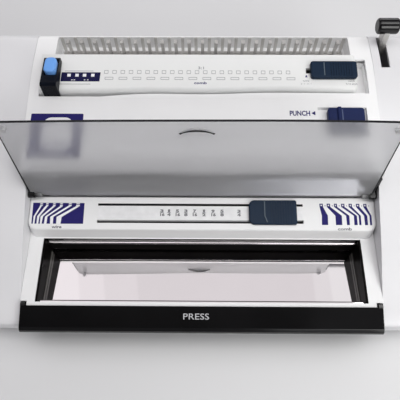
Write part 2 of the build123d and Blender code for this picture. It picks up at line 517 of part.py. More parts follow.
# ---- punch throat: guide ramp, die, punch guide, backstop ---------------------------
ramp = prism([(1.5, -6.1), (4.9, -5.7), (17.6, 5.4), (17.6, 4.0), (5.2, -6.9), (3.0, -7.2), (3.0, -12.0), (1.5, -12.0)], -163.8, 163.8)
ramp = ramp + prism([(1.5, -6.1), (4.9, -5.7), (10.8, -0.543), (10.8, -1.978), (5.2, -6.9), (3.0, -7.2), (3.0, -12.0), (1.5, -12.0)], -170.6, 170.6)
save("throat_ramp", ramp)
wires_x = [(k - 16.5) * WIRE_PITCH for k in range(34)]
WY, CY = 25.0, 38.0
die = box(-164.3, 164.3, 18.0, 46.0, -6.0, 5.5)
gde = box(-164.3, 164.3, 18.0, 46.0, 9.9, 16.0)
dholes = [box(x - 4.25, x + 4.25, CY - 1.75, CY + 1.75, -8, 20) for x in hooks_x] + [box(x - 2.1, x + 2.1, WY - 2.1, WY + 2.1, -8, 20) for x in wires_x]
holes = Compound(dholes)
die = die - holes
gde = gde - holes
save("die_block", die)
save("punch_guide", gde)
save("paper_backstop", box(-164.3, 164.3, 43.0, 46.0, 5.5, 9.9))
save("comb_punch_bar", fuse(box(-160, 160, 34, 42, 24.4, 29.9), *[box(*sorted((sx * 149.0, sx * 159.0)), 42, 47.0, 24.4, 29.9) for sx in (-1, 1)]))
save("comb_punches", *[box(x - 3.9, x + 3.9, CY - 1.4, CY + 1.4, 10.4, 24.4) for x in hooks_x])
save("wire_punch_bar", box(-160, 160, 21, 29, 24.4, 29.9))
save("wire_punches", *[box(x - 1.75, x + 1.75, WY - 1.75, WY + 1.75, 10.4, 24.4) for x in wires_x])
PRZ = 18
pr = PRZ / 2.0
rp = math.pi * 1.0
pracks = []
for sx in (-1, 1):
    x0, x1 = sorted((sx * 150.0, sx * 158.0))
    yp = PUNCH_Y - pr
    pts = [(yp - 3.6, -7.0), (yp - 1.2, -7.0)]
    for k in range(-4, 6):
        zc = PUNCH_Z + (k + 0.5) * rp
        for dz, dy in ((-0.33, -1.2), (-0.215, 0), (-0.11, 0.9), (0.11, 0.9), (0.215, 0), (0.33, -1.2)):
            pts.append((yp + dy, zc + dz * rp))
    pts += [(yp - 1.2, 29.9), (yp - 3.6, 29.9)]
    pracks.append(prism(pts, x0, x1))
save("punch_racks", *pracks)

# ---- punch shaft and drive -----------------------------------------------------------
save("punch_shaft", cyl_x(PUNCH_Y, PUNCH_Z, 5.0, -176.2, 172))
save("punch_pinions", *[gear(PRZ, 1.0, PUNCH_Y, PUNCH_Z, *sorted((sx * 150.0, sx * 158.0)), first=180.0, bore=5.0) for sx in (-1, 1)])
save("drive_gear", gear(48, 1.0, PUNCH_Y, PUNCH_Z, -175.6, -171.2, first=0.0, bore=5.0) - Compound([cyl_x(PUNCH_Y + 14 * math.cos(a), PUNCH_Z + 14 * math.sin(a), 4.2, -178, -168) for a in [math.radians(60 * k + 30) for k in range(6)]]))
save("motor_pinion", gear(12, 1.0, MOTOR_Y, MOTOR_Z, -176.0, -170.8, first=15.0, bore=2.0) + cyl_x(MOTOR_Y, MOTOR_Z, 2.0, -176.0, -161.0))
motor = cyl_x(MOTOR_Y, MOTOR_Z, 16.0, -164.5, -98) + cyl_x(MOTOR_Y, MOTOR_Z, 6.0, -98, -94)
save("motor", motor - cyl_x(MOTOR_Y, MOTOR_Z, 2.06, -165, -158))
save("shaft_bushes", *[cyl_x(PUNCH_Y, PUNCH_Z, 8.0, *sorted((sx * 167.6, sx * 170.6))) - cyl_x(PUNCH_Y, PUNCH_Z, 5.05, -180, 180) for sx in (-1, 1)])

# ---- frame plates ---------------------------------------------------------------------
fr = []
for sx in (-1, 1):
    a, b = sorted((sx * 164.5, sx * 167.5))
    f = prism([(-8, -82.5), (-8, -40), (11.3, -22), (11.3, 24), (167.5, 24), (167.5, -82.5)], a, b)
    f = cut(f, box(a - 1, b + 1, 0.6, 53.4, -90, -41), box(a - 1, b + 1, 70, 130, -70, -10), cyl_x(PUNCH_Y, PUNCH_Z, 5.05, a - 1, b + 1), cyl_x(COMB_Y, COMB_Z, 4.05, a - 1, b + 1), cyl_x(MOTOR_Y, MOTOR_Z, 3.4, a - 1, b + 1))
    fr.append(f)
save("left_frame_plate", fr[0])
save("right_frame_plate", fr[1])

# ---- comb opener ------------------------------------------------------------------------
tines = box(-153, 153, 156.6, 160.4, 35.6, 37.2)
tx = [x + COMB_PITCH / 2 for x in hooks_x] + [hooks_x[0] - COMB_PITCH / 2]
save("comb_tines", fuse(tines, *[box(x - 1.6, x + 1.6, 157.2, 158.7, 37.2, 59.0) for x in tx]))
slide = box(-152, 152, 146.0, 163.0, 28.0, 30.0)
hk = [prism([(155.5, 30.0), (155.5, 58.6), (150.2, 58.6), (150.2, 56.4), (153.7, 56.4), (153.7, 30.0)], x - 1.7, x + 1.7) for x in hooks_x]
save("hook_slide", fuse(slide, *hk))
cr = []
CZ = 30
for sx in (-1, 1):
    a, b = sorted((sx * 134.0, sx * 142.0))
    zpp = COMB_Z + CZ / 2.0
    pts = [(143.2, 28.0), (143.2, zpp + 1.2)]
    for k in range(-2, 5):
        yc = COMB_Y + k * math.pi + math.pi / 2
        for dy, dz in ((-0.33, 1.2), (-0.215, 0), (-0.11, -0.9), (0.11, -0.9), (0.215, 0), (0.33, 1.2)):
            pts.append((yc + dy * math.pi, zpp + dz))
    pts += [(165.6, zpp + 1.2), (165.6, 28.0)]
    cr.append(prism(pts, a, b))
save("hook_racks", *cr)
save("comb_shaft", cyl_x(COMB_Y, COMB_Z, 4.0, -171, 197))
save("comb_pinions", *[gear(CZ, 1.0, COMB_Y, COMB_Z, *sorted((sx * 134.0, sx * 142.0)), first=90.0, bore=4.0) for sx in (-1, 1)])
# lever on the right, leaning back a little at rest
lv = box(188.4, 193.6, -6.0, 6.0, 0, 66.0) + cyl_x(0, 0, 9.0, 188.4, 193.6)
lv = lv - cyl_x(0, 0, 4.0, 180, 200)
lv = try_fillet(lv, [e for e in lv.edges() if e.center().Z > 65.5 and abs(e.center().Y) > 5], 5.0)
save("comb_lever", lv.moved(Location((0, COMB_Y, COMB_Z), (LEVER_LEAN, 0, 0))))
kb = cyl_x(0, 66.0, 8.0, 180.0, 202.0)
kb = try_fillet(kb, kb.edges(), 2.5) - box(188.4, 193.6, -6.0, 6.0, 50, 66.0)
kb = kb - box(188.4, 193.6, -20, 20, 50, 62.0)
save("lever_knob", kb.moved(Location((0, COMB_Y, COMB_Z), (LEVER_LEAN, 0, 0))))

# ---- chip tray (slides out of the left side) ------------------------------------------
tray = box(-222, 158, 3.0, 51.0, -81.5, -45.0)
tray = tray - box(-219.6, 156, 5.0, 49.0, -79.5, -40)
tray = tray + box(-224.8, -222, 1.8, 52.2, -81.2, -42.8)
grip = cyl_x(27, -55.0, 11.0, -226, -223.6) & box(-230, -220, 10, 44, -60, -50)
tray = tray - grip
save("chip_tray", tray)

# ---- electrics ----------------------------------------------------------------------------
save("circuit_board", fuse(box(60, 150, 96, 150, -70, -68.4), *[cyl_z(x, y, 3.0, -82.5, -70) for x, y in ((66, 102), (144, 102), (66, 144), (144, 144))]))
save("board_parts", box(70, 96, 106, 132, -68.4, -48), cyl_z(112, 112, 8, -68.4, -46), cyl_z(132, 112, 8, -68.4, -46), box(106, 140, 128, 144, -68.4, -56))
inlet = box(120.3, 147.7, 160, 175.0, -39.7, -18.3) + box(117, 151, 175.0 - 2.61 - 1.6, 175.0 - 2.61, -43, -15)
inlet = inlet - box(122.5, 145.5, 162, 178, -37.2, -20.8)
inlet = fuse(inlet, box(133.2, 134.8, 161, 173, -27.5, -21.9 - 1.5), box(127.6, 129.2, 161, 173, -35.5, -30.0), box(138.8, 140.4, 161, 173, -35.5, -30.0))
save("mains_inlet", inlet)
sw = box(84.3, 105.7, 158, 175.0, -38.7, -19.3) - box(86.3, 103.7, 160, 178, -36.7, -21.3)
sw = sw - cyl_x(170.0, -29.0, 1.26, 84.0, 106.0)
save("switch_body", sw)
rk = prism([(168.6, -21.9), (173.6, -21.9), (171.4, -29.0), (173.6, -36.1), (168.6, -36.1)], 86.8, 103.2)
# its two trunnions turn in the side walls of the switch body
rk = rk + cyl_x(170.0, -29.0, 1.2, 85.0, 105.0)
save("power_rocker", rk)
print("written")
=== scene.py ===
import json
import math
import bpy
import bmesh
from mathutils import Matrix, Vector


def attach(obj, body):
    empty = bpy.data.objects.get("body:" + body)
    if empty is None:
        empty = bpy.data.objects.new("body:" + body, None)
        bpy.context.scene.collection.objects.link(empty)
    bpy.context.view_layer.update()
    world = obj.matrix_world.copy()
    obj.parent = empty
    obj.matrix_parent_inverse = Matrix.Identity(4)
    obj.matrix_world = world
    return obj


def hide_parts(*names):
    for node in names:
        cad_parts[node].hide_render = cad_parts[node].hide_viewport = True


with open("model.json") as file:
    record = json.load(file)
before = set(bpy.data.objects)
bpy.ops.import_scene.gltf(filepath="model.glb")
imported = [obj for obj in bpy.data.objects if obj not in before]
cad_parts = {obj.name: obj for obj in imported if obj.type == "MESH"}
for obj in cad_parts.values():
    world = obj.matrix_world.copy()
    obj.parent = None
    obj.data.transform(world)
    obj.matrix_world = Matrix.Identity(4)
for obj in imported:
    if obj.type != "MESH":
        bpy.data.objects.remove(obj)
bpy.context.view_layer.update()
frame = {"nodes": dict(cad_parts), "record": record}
scene = bpy.context.scene
NODES = frame["nodes"]
SLOT = {s["node"]: s["material_slot"] for s in frame["record"]["subparts"]}
BODY = {n: b for b, ns in frame["record"]["behaviour"]["bodies"].items() for n in ns}

# Layout is in millimetres from the lid's hinge line; this is where that line sits in the row frame.
OY, OZ = -22.0, 88.0


def H(x, y, z):
    return Vector((x / 1000.0, (y + OY) / 1000.0, (z + OZ) / 1000.0))


def lab(y):
    return 32.7 + 0.17 * (y - 5.7)


def deck(y):
    return lab(y) + 5.2


def panel(y):
    return -5.9 + 0.174 * (y - 1.6)


def arms(y):
    return -24.8 + 0.0529 * (y + 37.2)


def bar(y):
    return -26.9 + 0.2965 * (y + 107.6)


# ------------------------------------------------------------------ materials
def nodes_of(mat):
    mat.use_nodes = True
    nt = mat.node_tree
    for n in list(nt.nodes):
        nt.nodes.remove(n)
    return nt


def moulded(name, color, rough=0.4, var=0.03, grain=1400.0, bump=0.05, coat=0.0, spec=0.5, rough_var=0.05, cloud=18.0):
    """Moulded plastic: spark-eroded grain, a faint cloudiness of colour and sheen."""
    m = bpy.data.materials.new(name)
    nt = nodes_of(m)
    out = nt.nodes.new("ShaderNodeOutputMaterial")
    b = nt.nodes.new("ShaderNodeBsdfPrincipled")
    tc = nt.nodes.new("ShaderNodeTexCoord")
    n1 = nt.nodes.new("ShaderNodeTexNoise"); n1.inputs["Scale"].default_value = cloud; n1.inputs["Detail"].default_value = 4
    n2 = nt.nodes.new("ShaderNodeTexNoise"); n2.inputs["Scale"].default_value = grain; n2.inputs["Detail"].default_value = 3
    cr = nt.nodes.new("ShaderNodeValToRGB")
    lo = [max(0, c * (1 - var)) for c in color[:3]] + [1]
    hi = [min(1, c * (1 + var)) for c in color[:3]] + [1]
    cr.color_ramp.elements[0].position = 0.3; cr.color_ramp.elements[0].color = lo
    cr.color_ramp.elements[1].position = 0.7; cr.color_ramp.elements[1].color = hi
    mr = nt.nodes.new("ShaderNodeMapRange")
    mr.inputs["To Min"].default_value = max(0.02, rough - rough_var); mr.inputs["To Max"].default_value = rough + rough_var
    bp = nt.nodes.new("ShaderNodeBump"); bp.inputs["Strength"].default_value = bump; bp.inputs["Distance"].default_value = 0.0003
    L = nt.links.new
    L(tc.outputs["Object"], n1.inputs["Vector"]); L(tc.outputs["Object"], n2.inputs["Vector"])
    L(n1.outputs["Fac"], cr.inputs["Fac"]); L(cr.outputs["Color"], b.inputs["Base Color"])
    L(n1.outputs["Fac"], mr.inputs["Value"]); L(mr.outputs["Result"], b.inputs["Roughness"])
    L(n2.outputs["Fac"], bp.inputs["Height"]); L(bp.outputs["Normal"], b.inputs["Normal"])
    b.inputs["Specular IOR Level"].default_value = spec
    b.inputs["Coat Weight"].default_value = coat
    b.inputs["Coat Roughness"].default_value = 0.08
    L(b.outputs["BSDF"], out.inputs["Surface"])
    return m


def metal(name, color, rough=0.3, streak=(4.0, 900.0, 900.0), bump=0.05, var=0.06, rough_var=0.06, metallic=1.0):
    """Metal with drawn or ground streaks along X."""
    m = bpy.data.materials.new(name)
    nt = nodes_of(m)
    out = nt.nodes.new("ShaderNodeOutputMaterial")
    b = nt.nodes.new("ShaderNodeBsdfPrincipled")
    tc = nt.nodes.new("ShaderNodeTexCoord")
    mp = nt.nodes.new("ShaderNodeMapping"); mp.inputs["Scale"].default_value = streak
    n1 = nt.nodes.new("ShaderNodeTexNoise"); n1.inputs["Scale"].default_value = 1.0; n1.inputs["Detail"].default_value = 5
    n2 = nt.nodes.new("ShaderNodeTexNoise"); n2.inputs["Scale"].default_value = 22.0; n2.inputs["Detail"].default_value = 3
    cr = nt.nodes.new("ShaderNodeValToRGB")
    cr.color_ramp.elements[0].position = 0.3; cr.color_ramp.elements[0].color = [c * (1 - var) for c in color[:3]] + [1]
    cr.color_ramp.elements[1].position = 0.7; cr.color_ramp.elements[1].color = [min(1, c * (1 + var)) for c in color[:3]] + [1]
    mr = nt.nodes.new("ShaderNodeMapRange")
    mr.inputs["To Min"].default_value = max(0.02, rough - rough_var); mr.inputs["To Max"].default_value = rough + rough_var
    bp = nt.nodes.new("ShaderNodeBump"); bp.inputs["Strength"].default_value = bump; bp.inputs["Distance"].default_value = 0.0001
    L = nt.links.new
    L(tc.outputs["Object"], mp.inputs["Vector"]); L(mp.outputs["Vector"], n1.inputs["Vector"]); L(tc.outputs["Object"], n2.inputs["Vector"])
    L(n2.outputs["Fac"], cr.inputs["Fac"]); L(cr.outputs["Color"], b.inputs["Base Color"])
    L(n1.outputs["Fac"], mr.inputs["Value"]); L(mr.outputs["Result"], b.inputs["Roughness"])
    L(n1.outputs["Fac"], bp.inputs["Height"]); L(bp.outputs["Normal"], b.inputs["Normal"])
    b.inputs["Metallic"].default_value = metallic
    L(b.outputs["BSDF"], out.inputs["Surface"])
    return m


def smoked(name):
    """Frosted smoked acrylic sheet."""
    m = bpy.data.materials.new(name)
    nt = nodes_of(m)
    out = nt.nodes.new("ShaderNodeOutputMaterial")
    b = nt.nodes.new("ShaderNodeBsdfPrincipled")
    tc = nt.nodes.new("ShaderNodeTexCoord")
    n1 = nt.nodes.new("ShaderNodeTexNoise"); n1.inputs["Scale"].default_value = 9.0; n1.inputs["Detail"].default_value = 3
    cr = nt.nodes.new("ShaderNodeValToRGB")
    cr.color_ramp.elements[0].position = 0.3; cr.color_ramp.elements[0].color = (0.695, 0.695, 0.71, 1)
    cr.color_ramp.elements[1].position = 0.7; cr.color_ramp.elements[1].color = (0.715, 0.715, 0.73, 1)
    mr = nt.nodes.new("ShaderNodeMapRange")
    mr.inputs["To Min"].default_value = 0.27; mr.inputs["To Max"].default_value = 0.30
    L = nt.links.new
    L(tc.outputs["Object"], n1.inputs["Vector"])
    L(n1.outputs["Fac"], cr.inputs["Fac"]); L(cr.outputs["Color"], b.inputs["Base Color"])
    L(n1.outputs["Fac"], mr.inputs["Value"]); L(mr.outputs["Result"], b.inputs["Roughness"])
    b.inputs["Transmission Weight"].default_value = 0.78
    b.inputs["IOR"].default_value = 1.3
    L(b.outputs["BSDF"], out.inputs["Surface"])
    return m


def smoked_cut(name):
    """Cut edge of the acrylic sheet, painted near-black as painted shade: darker, because light leaves it sideways."""
    m = smoked(name)
    b = [n for n in m.node_tree.nodes if n.type == "BSDF_PRINCIPLED"][0]
    cr = [n for n in m.node_tree.nodes if n.type == "VALTORGB"][0]
    cr.color_ramp.elements[0].color = (0.012, 0.012, 0.014, 1)
    cr.color_ramp.elements[1].color = (0.018, 0.018, 0.020, 1)
    b.inputs["Transmission Weight"].default_value = 0.0
    return m


def soft_clear(name):
    """Cloudy clear elastomer of the small stop pads."""
    m = smoked(name)
    b = [n for n in m.node_tree.nodes if n.type == "BSDF_PRINCIPLED"][0]
    cr = [n for n in m.node_tree.nodes if n.type == "VALTORGB"][0]
    cr.color_ramp.elements[0].color = (0.66, 0.66, 0.67, 1)
    cr.color_ramp.elements[1].color = (0.70, 0.70, 0.71, 1)
    b.inputs["Transmission Weight"].default_value = 0.6
    return m


def printed(name, color, rough=0.45):
    return moulded(name, color, rough=rough, var=0.05, grain=3000.0, bump=0.02, cloud=120.0, spec=0.12)


M = {
    # the side covers' white plastic, set darker and lavender as painted shade on the sloping cheeks
    "cover_white_painted_shade": moulded("cover_white_painted_shade", (0.735, 0.732, 0.75), rough=0.38, var=0.012, bump=0.05),
    "white_shell": moulded("white_shell", (0.86, 0.86, 0.865), rough=0.36, var=0.012, bump=0.05),
    "white_deck": moulded("white_deck", (0.80, 0.805, 0.80), rough=0.40, var=0.012, bump=0.05),
    "black_plastic": moulded("black_plastic", (0.005, 0.0048, 0.0052), rough=0.15, var=0.15, bump=0.02, grain=500.0, rough_var=0.03, spec=0.35),
    "black_satin": moulded("black_satin", (0.006, 0.006, 0.007), rough=0.36, var=0.15, bump=0.08, spec=0.3),
    "liner_black": moulded("liner_black", (0.0035, 0.003, 0.003), rough=0.30, var=0.2, bump=0.02, grain=500.0, rough_var=0.05, spec=0.02),
    "bar_black": moulded("bar_black", (0.0085, 0.0080, 0.0080), rough=0.8, var=0.2, bump=0.02, grain=500.0, rough_var=0.05, spec=0.0),
    # the bezel's white plastic, set a little darker than the housing's as painted shade on its arms
    "bezel_white_painted_shade": moulded("bezel_white_painted_shade", (0.79, 0.79, 0.795), rough=0.36, var=0.012, bump=0.05),
    "teal_plastic": moulded("teal_plastic", (0.0055, 0.018, 0.042), rough=0.42, var=0.10, bump=0.10, spec=0.16),
    "navy_plastic": moulded("navy_plastic", (0.008, 0.016, 0.074), rough=0.40, var=0.08, bump=0.06, spec=0.15),
    "guide_dark": moulded("guide_dark", (0.0025, 0.004, 0.009), rough=0.40, var=0.12, bump=0.08, spec=0.15),
    # pale navy for the painted highlight on the punch slide's ridge
    "rib_navy_painted_highlight": moulded("rib_navy_painted_highlight", (0.075, 0.10, 0.20), rough=0.4, var=0.08, bump=0.05, spec=0.3),
    "blue_plastic": moulded("blue_plastic", (0.15, 0.36, 0.80), rough=0.28, var=0.06, bump=0.04, spec=0.3),
    "smoked": smoked("smoked"),
    # near-black painted shade for the sheet's cut edges, the finger scoop's rim and the side margins
    "smoked_edge_painted_shade": smoked_cut("smoked_edge_painted_shade"),
    "polished_steel": metal("polished_steel", (0.86, 0.83, 0.84), rough=0.035, rough_var=0.008, bump=0.0003, var=0.01),
    "ramp_steel": metal("ramp_steel", (0.62, 0.62, 0.64), rough=0.16, rough_var=0.04, bump=0.01, var=0.03),
    "tool_steel": metal("tool_steel", (0.42, 0.42, 0.44), rough=0.34, bump=0.08),
    "zinc_steel": metal("zinc_steel", (0.58, 0.57, 0.55), rough=0.40, bump=0.06, streak=(60.0, 60.0, 60.0)),
    "painted_steel": moulded("painted_steel", (0.10, 0.10, 0.105), rough=0.55, var=0.10, grain=700.0, bump=0.25),
    "rubber_black": moulded("rubber_black", (0.012, 0.012, 0.012), rough=0.75, var=0.2, grain=900.0, bump=0.2),
    "board_green": moulded("board_green", (0.015, 0.10, 0.045), rough=0.35, var=0.25, grain=400.0, bump=0.1, cloud=90.0),
    "soft_clear": soft_clear("soft_clear"),
    # dark tone for the painted shade strip along the back of the bed's upturned lip
    "lip_painted_shade": moulded("lip_painted_shade", (0.10, 0.085, 0.09), rough=0.6, var=0.1, grain=900.0, bump=0.1, spec=0.1),
    # brownish grey for the painted reflection strips at the well's sides
    "wall_painted_reflection": moulded("wall_painted_reflection", (0.075, 0.072, 0.066), rough=0.4, var=0.1, grain=900.0, bump=0.1, spec=0.3),
    # pale teal for the painted highlights on the selector sliders' ridges
    "rib_teal_painted_highlight": moulded("rib_teal_painted_highlight", (0.09, 0.12, 0.15), rough=0.4, var=0.08, bump=0.05, spec=0.3),
    "grey_plastic": moulded("grey_plastic", (0.16, 0.16, 0.17), rough=0.45, var=0.08, bump=0.1),
    "brass_bush": metal("brass_bush", (0.72, 0.52, 0.22), rough=0.3),
    "navy_print": printed("navy_print", (0.016, 0.012, 0.125)),
    "deep_navy_print": printed("deep_navy_print", (0.008, 0.007, 0.055)),
    "white_print": printed("white_print", (0.86, 0.86, 0.88)),
    "grey_print": printed("grey_print", (0.30, 0.30, 0.32)),
    "dark_print": printed("dark_print", (0.07, 0.07, 0.09)),
    "pale_print": printed("pale_print", (0.80, 0.80, 0.81)),
    "press_print": printed("press_print", (0.50, 0.50, 0.52)),
    "size_print": printed("size_print", (0.20, 0.20, 0.215)),
}


def slot_mat(slot):
    return M[slot]


# ------------------------------------------------------------------ mesh helpers
def link(ob):
    scene.collection.objects.link(ob)
    return ob


def finish_mesh(ob, mat, angle=32.0):
    ob.data.materials.clear()
    ob.data.materials.append(mat)
    for p in ob.data.polygons:
        p.use_smooth = True
        p.material_index = 0
    ob.data.set_sharp_from_angle(angle=math.radians(angle))
    return ob


def bake_modifiers(ob):
    dg = bpy.context.evaluated_depsgraph_get()
    dg.update()
    me = bpy.data.meshes.new_from_object(ob.evaluated_get(dg))
    old = ob.data
    ob.modifiers.clear()
    ob.data = me
    return ob


def skin(node, mat, bevel=0.0004, segs=2, name=None, angle=34.0, weld=3e-6, edge_mat=None, edge_test=None):
    """A finer outer skin for a CAD node: same surface, with small rounded edges."""
    src = NODES[node]
    me = src.data.copy()
    bm = bmesh.new()
    bm.from_mesh(me)
    bmesh.ops.remove_doubles(bm, verts=bm.verts, dist=weld)
    bm.to_mesh(me)
    bm.free()
    ob = link(bpy.data.objects.new(name or node + "_skin", me))
    me.materials.clear()
    me.materials.append(mat)
    for p in me.polygons:
        p.use_smooth = True
        p.material_index = 0
    me.set_sharp_from_angle(angle=math.radians(angle))
    if bevel:
        mod = ob.modifiers.new("b", "BEVEL")
        mod.width = bevel
        mod.segments = segs
        mod.limit_method = "ANGLE"
        mod.angle_limit = math.radians(angle)
        mod.use_clamp_overlap = True
        mod.harden_normals = False
    wn = ob.modifiers.new("w", "WEIGHTED_NORMAL")
    wn.mode = "FACE_AREA"
    wn.weight = 50
    wn.keep_sharp = True
    bake_modifiers(ob)
    if edge_mat:
        ob.data.materials.append(edge_mat)
        for p in ob.data.polygons:
            if edge_test(p):
                p.material_index = 1
    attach(ob, BODY[node])
    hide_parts(node)
    return ob


def piece(name, verts, faces, mat, body, angle=32.0, bevel=0.0, segs=2, subdiv=0):
    me = bpy.data.meshes.new(name)
    me.from_pydata([tuple(v) for v in verts], [], faces)
    me.validate()
    bm = bmesh.new(); bm.from_mesh(me)
    bmesh.ops.recalc_face_normals(bm, faces=bm.faces)
    bm.to_mesh(me); bm.free()
    ob = link(bpy.data.objects.new(name, me))
    if bevel:
        mod = ob.modifiers.new("b", "BEVEL"); mod.width = bevel; mod.segments = segs
        mod.limit_method = "ANGLE"; mod.angle_limit = math.radians(30)
        bake_modifiers(ob)
    finish_mesh(ob, mat, angle)
    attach(ob, body)
    return ob


def joined(name, parts, mat, body, angle=32.0, bevel=0.0, segs=2):
    """One piece from a list of (verts, faces)."""
    vs, fs = [], []
    for v, f in parts:
        o = len(vs)
        vs += list(v)
        fs += [[i + o for i in q] for q in f]
    return piece(name, vs, fs, mat, body, angle, bevel, segs)


def slab(outline, surf, lift=0.0, thick=0.12):
    """A thin printed patch: outline of (x, y) in mm laid on a surface z = surf(y), `thick` mm proud of it."""
    n = len(outline)
    top = [H(x, y, surf(y) + lift + thick) for x, y in outline]
    bot = [H(x, y, surf(y) + lift) for x, y in outline]
    f = [list(range(n)), [2 * n - 1 - i for i in range(n)]]
    f += [[i, (i + 1) % n, n + (i + 1) % n, n + i] for i in range(n)]
    return top + bot, f


def rect(x0, x1, y0, y1):
    return [(x0, y0), (x1, y0), (x1, y1), (x0, y1)]


def round_rect(x0, x1, y0, y1, r, seg=6):
    pts = []
    for cx, cy, a in ((x1 - r, y0 + r, -90), (x1 - r, y1 - r, 0), (x0 + r, y1 - r, 90), (x0 + r, y0 + r, 180)):
        for k in range(seg + 1):
            t = math.radians(a + 90.0 * k / seg)
            pts.append((cx + r * math.cos(t), cy + r * math.sin(t)))
    return pts


def frame_patch(x0, x1, y0, y1, w, surf, lift=0.0, thick=0.1):
    """A thin rectangular outline as one closed band."""
    o = rect(x0, x1, y0, y1)
    i = rect(x0 + w, x1 - w, y0 + w, y1 - w)
    ring = o + i
    top = [H(x, y, surf(y) + lift + thick) for x, y in ring]
    bot = [H(x, y, surf(y) + lift) for x, y in ring]
    f = []
    for k in range(4):
        j = (k + 1) % 4
        f += [[k, j, 4 + j, 4 + k], [8 + j, 8 + k, 12 + k, 12 + j], [k, 8 + k, 8 + j, j], [4 + j, 12 + j, 12 + k, 4 + k]]
    return top + bot, f


def text_piece(name, body_text, x, y, height, surf, slope, mat, body, width=None, bold=0.0, lift=0.02, thick=0.1, align="CENTER", squeeze=1.0):
    """Lettering laid on a sloping surface, x, y the centre of its baseline in mm."""
    cu = bpy.data.curves.new(name, "FONT")
    cu.body = body_text
    cu.align_x = align
    cu.size = 1.0
    cu.offset = bold
    cu.extrude = 0.0
    cu.resolution_u = 3
    ob = link(bpy.data.objects.new(name + "_tmp", cu))
    dg = bpy.context.evaluated_depsgraph_get(); dg.update()
    me = bpy.data.meshes.new_from_object(ob.evaluated_get(dg))
    bpy.data.objects.remove(ob)
    xs = [v.co.x for v in me.vertices]; ys = [v.co.y for v in me.vertices]
    cap = max(ys) - min(0, min(ys)) if body_text.upper() != body_text else max(ys)
    s = height / max(ys)
    sx = s * squeeze if width is None else width / (max(xs) - min(xs))
    bm = bmesh.new(); bm.from_mesh(me)
    bmesh.ops.remove_doubles(bm, verts=bm.verts, dist=1e-5)
    r = bmesh.ops.extrude_face_region(bm, geom=bm.faces[:])
    moved = [g for g in r["geom"] if isinstance(g, bmesh.types.BMVert)]
    tops = set(moved)
    cs, sn = math.cos(math.atan(slope)), math.sin(math.atan(slope))
    for v in bm.verts:
        px = v.co.x * sx + x
        d = v.co.y * s * cs
        py = y + d
        pz = surf(py) + lift + (thick if v in tops else 0.0)
        v.co = H(px, py, pz)
    bmesh.ops.recalc_face_normals(bm, faces=bm.faces)
    bm.to_mesh(me); bm.free()
    ob = link(bpy.data.objects.new(name, me))
    finish_mesh(ob, mat)
    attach(ob, body)
    return ob


# ------------------------------------------------------------------ shells
for n in ("left_side_cover", "right_side_cover"):
    skin(n, M["cover_white_painted_shade"], bevel=0.00035, segs=2)
skin("upper_housing", M["white_shell"], bevel=0.00035, segs=2)


def throat_painted_shade_faces(p):
    """The bezel's cut wall under its scalloped lip, painted black as painted shade along the paper throat."""
    x, y = p.center.x * 1000, p.center.y * 1000 - OY
    return p.normal.y < -0.95 and abs(y + 38.0) < 0.3 and abs(x) < 160


skin("front_bezel", M["bezel_white_painted_shade"], bevel=0.00035, segs=2, edge_mat=M["liner_black"], edge_test=throat_painted_shade_faces)
skin("deck_plate", M["white_deck"], bevel=0.0003)
skin("press_bar", M["black_plastic"], bevel=0.0003)
skin("well_liner", M["liner_black"], bevel=0.0003)
skin("anvil_bar", M["bar_black"], bevel=0.0003)
skin("anvil_plate", M["polished_steel"], bevel=0.0002)
skin("closing_jaw", M["polished_steel"], bevel=0.00015)
skin("throat_ramp", M["ramp_steel"], bevel=0.0002)
skin("hinge_blocks", M["black_plastic"], bevel=0.0004)
skin("size_slider", M["teal_plastic"], bevel=0.0002)
skin("mode_slider", M["teal_plastic"], bevel=0.0002)
skin("punch_slide", M["navy_plastic"], bevel=0.0003)
skin("edge_guide", M["guide_dark"], bevel=0.0003)
skin("guide_button", M["blue_plastic"], bevel=0.0003)
LID_N = Vector((0, math.cos(math.radians(6.6)), -math.sin(math.radians(6.6))))


def lid_rim_shade_faces(p):
    """Faces that take the near-black painted shade: cut faces and rounded arrises of the sheet, away from the hinge
    barrels.
    """
    x, y, z = p.center.x * 1000, p.center.y * 1000 - OY, p.center.z * 1000 - OZ
    if math.hypot(y, z) < 2.9 and abs(x) > 168:
        return True                      # hinge barrels
    if abs(x + 4.0) < 24 and 84 < z < 102.5 and abs(p.normal.x) < 0.999:
        return False                     # slopes of the finger scoop
    return abs(p.normal.dot(LID_N)) < 0.97 and math.hypot(y, z) > 5.5


skin("smoked_lid", M["smoked"], bevel=0.0009, segs=3, edge_mat=M["smoked_edge_painted_shade"], edge_test=lid_rim_shade_faces)
skin("lid_bumpers", M["soft_clear"], bevel=0.0006, segs=3)

# carried-over CAD nodes get their finish
for n, o in NODES.items():
    o.data.materials.clear()
    o.data.materials.append(slot_mat(SLOT[n]))
    for p in o.data.polygons:
        p.use_smooth = True
        p.material_index = 0
    o.data.set_sharp_from_angle(angle=math.radians(32))

# ------------------------------------------------------------------ finger pull at the lid's free edge
def lid_in(x, s, lift):
    """Point on the lid's inner face: s runs from the pivot to the free edge."""
    z = 0.16 - 1.72 * max(0.0, s - 92.5) / 8.9 - lift
    a = math.radians(96.6)
    y = -s
    return H(x, y * math.cos(a) + z * math.sin(a), -y * math.sin(a) + z * math.cos(a))


